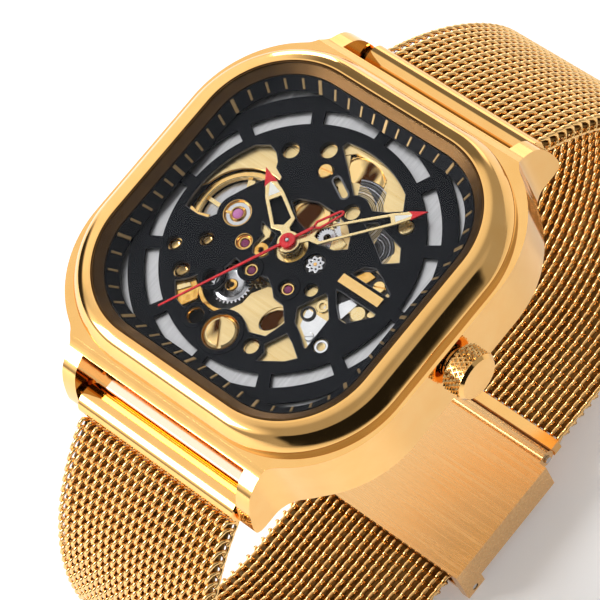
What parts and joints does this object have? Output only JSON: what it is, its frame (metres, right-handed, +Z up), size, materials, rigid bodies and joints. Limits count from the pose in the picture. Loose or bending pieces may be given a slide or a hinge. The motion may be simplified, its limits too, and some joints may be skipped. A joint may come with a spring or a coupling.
{
  "type": "wristwatch",
  "caption": "Cushion-shaped automatic wristwatch in polished gold, with an openworked dial, skeleton hands, a knurled crown and a woven mesh band closed by a sliding clasp.",
  "frame": {"origin": "Middle of the flat underside of the clasp that the watch stands on, straight below the centre of the dial.", "axes": "+Z up, out of the dial; +Y towards 12 o'clock; +X towards 3 o'clock, where the crown is."},
  "size_m": [0.0448, 0.0789, 0.0609],
  "materials": {
    "gold_steel": "polished yellow-gold plating on stainless steel",
    "gold_mesh": "woven gold-plated stainless steel wire",
    "steel": "satin and polished stainless steel",
    "gilt_brass": "gilt brass, brushed",
    "plated_brass": "nickel-plated brass",
    "pale_gold": "polished pale gold",
    "dial_black": "matt blue-black lacquer on brass",
    "glass": "clear mineral glass",
    "rubber": "black gasket rubber",
    "nylon": "moulded nylon",
    "red_paint": "gloss red paint on brass",
    "ruby": "polished synthetic ruby"
  },
  "bodies": {
    "head": {"case_body": "gold_steel", "bezel": "gold_steel", "bezel_gasket": "rubber", "crystal": "glass", "flange_ring": "dial_black", "dial_plate": "dial_black", "dial_base_ring": "plated_brass", "dial_plaque": "pale_gold", "main_plate": "plated_brass", "train_bridge": "gilt_brass", "jewel_balance": "ruby", "jewel_third": "ruby", "jewel_fourth": "ruby", "jewel_escape": "ruby", "bridge_screw_large": "gilt_brass", "dial_screw_12": "gilt_brass", "dial_screw_2": "gilt_brass", "movement_holder": "nylon", "rotor_bearing": "steel", "case_back": "steel", "back_window": "glass", "back_screw_1": "gold_steel", "back_screw_2": "gold_steel", "back_screw_3": "gold_steel", "back_screw_4": "gold_steel", "crown_tube": "steel", "spring_bar_12": "steel", "spring_bar_6": "steel", "hairspring": "steel"},
    "setting": {"setting_lever": "steel"},
    "crown": {"crown": "gold_steel", "winding_stem": "steel"},
    "minute": {"minute_hand": "pale_gold", "cannon_pinion": "steel"},
    "hour": {"hour_hand": "pale_gold", "hour_wheel": "gilt_brass"},
    "minute_wheel": {"minute_wheel": "gilt_brass"},
    "seconds": {"seconds_hand": "red_paint", "seconds_arbor": "steel"},
    "centre_wheel": {"centre_wheel": "gilt_brass"},
    "third_wheel": {"third_wheel": "gilt_brass"},
    "fourth_wheel": {"fourth_wheel": "gilt_brass"},
    "escape_wheel": {"escape_wheel": "steel"},
    "barrel": {"mainspring_barrel": "plated_brass"},
    "pallet": {"pallet_fork": "steel"},
    "balance": {"balance_wheel": "gilt_brass"},
    "rotor": {"rotor": "gilt_brass"},
    "strap_12_upper": {"mesh_12_upper": "gold_mesh", "end_tube_12": "gold_steel"},
    "strap_12_lower": {"mesh_12_lower": "gold_mesh", "band_end_12": "gold_steel"},
    "strap_6_upper": {"mesh_6_upper": "gold_mesh", "end_tube_6": "gold_steel"},
    "strap_6_lower": {"mesh_6_lower": "gold_mesh", "band_end_6": "gold_steel"},
    "clasp": {"clasp_frame": "gold_steel", "clasp_lock_pin": "steel", "clasp_hinge_pin": "steel"},
    "clasp_lock": {"clasp_lock": "gold_steel"}
  },
  "joints": [
    {"name": "crown_pull", "type": "slide", "parent": "head", "child": "setting", "axis": [1, 0, 0], "range_m": [0, 0.0009]},
    {"name": "crown_turn", "type": "hinge", "parent": "setting", "child": "crown", "pos_m": [0, 0, 0.05515], "axis": [1, 0, 0], "continuous": true},
    {"name": "minute_turn", "type": "hinge", "parent": "head", "child": "minute", "pos_m": [0, 0, 0.0594], "axis": [0, 0, -1], "continuous": true},
    {"name": "hour_turn", "type": "hinge", "parent": "head", "child": "hour", "pos_m": [0, 0, 0.0594], "axis": [0, 0, -1], "continuous": true},
    {"name": "minute_wheel_turn", "type": "hinge", "parent": "head", "child": "minute_wheel", "pos_m": [0.0026, -0.0015, 0.0554], "axis": [0, 0, -1], "continuous": true},
    {"name": "seconds_turn", "type": "hinge", "parent": "head", "child": "seconds", "pos_m": [0, 0, 0.0594], "axis": [0, 0, -1], "continuous": true},
    {"name": "centre_wheel_turn", "type": "hinge", "parent": "head", "child": "centre_wheel", "pos_m": [0, 0, 0.0554], "axis": [0, 0, -1], "continuous": true},
    {"name": "third_wheel_turn", "type": "hinge", "parent": "head", "child": "third_wheel", "pos_m": [0.00269, -0.00375, 0.0554], "axis": [0, 0, -1], "continuous": true},
    {"name": "fourth_wheel_turn", "type": "hinge", "parent": "head", "child": "fourth_wheel", "pos_m": [-0.00196, -0.00416, 0.0554], "axis": [0, 0, -1], "continuous": true},
    {"name": "escape_wheel_turn", "type": "hinge", "parent": "head", "child": "escape_wheel", "pos_m": [-0.0046, -0.00222, 0.0554], "axis": [0, 0, -1], "continuous": true},
    {"name": "barrel_turn", "type": "hinge", "parent": "head", "child": "barrel", "pos_m": [0.003, 0.0066, 0.0564], "axis": [0, 0, -1], "continuous": true},
    {"name": "pallet_swing", "type": "hinge", "parent": "head", "child": "pallet", "pos_m": [-0.00623, -0.00098, 0.0554], "axis": [0, 0, 1], "range_deg": [-6, 6]},
    {"name": "balance_swing", "type": "hinge", "parent": "head", "child": "balance", "pos_m": [-0.00734, -0.00014, 0.0569], "axis": [0, 0, 1], "range_deg": [-135, 135], "stiffness_Nm_per_rad": 0.0000006},
    {"name": "rotor_turn", "type": "hinge", "parent": "head", "child": "rotor", "pos_m": [0, 0, 0.052], "axis": [0, 0, -1], "continuous": true},
    {"name": "strap_12_pivot", "type": "hinge", "parent": "head", "child": "strap_12_upper", "pos_m": [0, 0.023, 0.0515], "axis": [1, 0, 0], "range_deg": [0, 60]},
    {"name": "strap_12_flex", "type": "hinge", "parent": "strap_12_upper", "child": "strap_12_lower", "pos_m": [0, 0.04019, 0.02549], "axis": [1, 0, 0], "range_deg": [0, 45]},
    {"name": "strap_6_pivot", "type": "hinge", "parent": "head", "child": "strap_6_upper", "pos_m": [0, -0.023, 0.0515], "axis": [-1, 0, 0], "range_deg": [0, 60]},
    {"name": "strap_6_flex", "type": "hinge", "parent": "strap_6_upper", "child": "strap_6_lower", "pos_m": [0, -0.03687, 0.02667], "axis": [-1, 0, 0], "range_deg": [0, 45]},
    {"name": "clasp_slide", "type": "slide", "parent": "strap_6_lower", "child": "clasp", "axis": [0, -1, 0], "range_m": [0, 0.005]},
    {"name": "clasp_lock_open", "type": "hinge", "parent": "clasp", "child": "clasp_lock", "pos_m": [0, -0.0076, 0.00085], "axis": [-1, 0, 0], "range_deg": [0, 75]}
  ],
  "couplings": [
    {"joint": "hour_turn", "follows": "minute_turn", "ratio": 0.083333},
    {"joint": "minute_wheel_turn", "follows": "minute_turn", "ratio": -0.33333},
    {"joint": "third_wheel_turn", "follows": "seconds_turn", "ratio": -0.13333},
    {"joint": "centre_wheel_turn", "follows": "seconds_turn", "ratio": 0.016667},
    {"joint": "fourth_wheel_turn", "follows": "seconds_turn", "ratio": 1},
    {"joint": "escape_wheel_turn", "follows": "seconds_turn", "ratio": -10},
    {"joint": "barrel_turn", "follows": "seconds_turn", "ratio": -0.0027778}
  ]
}
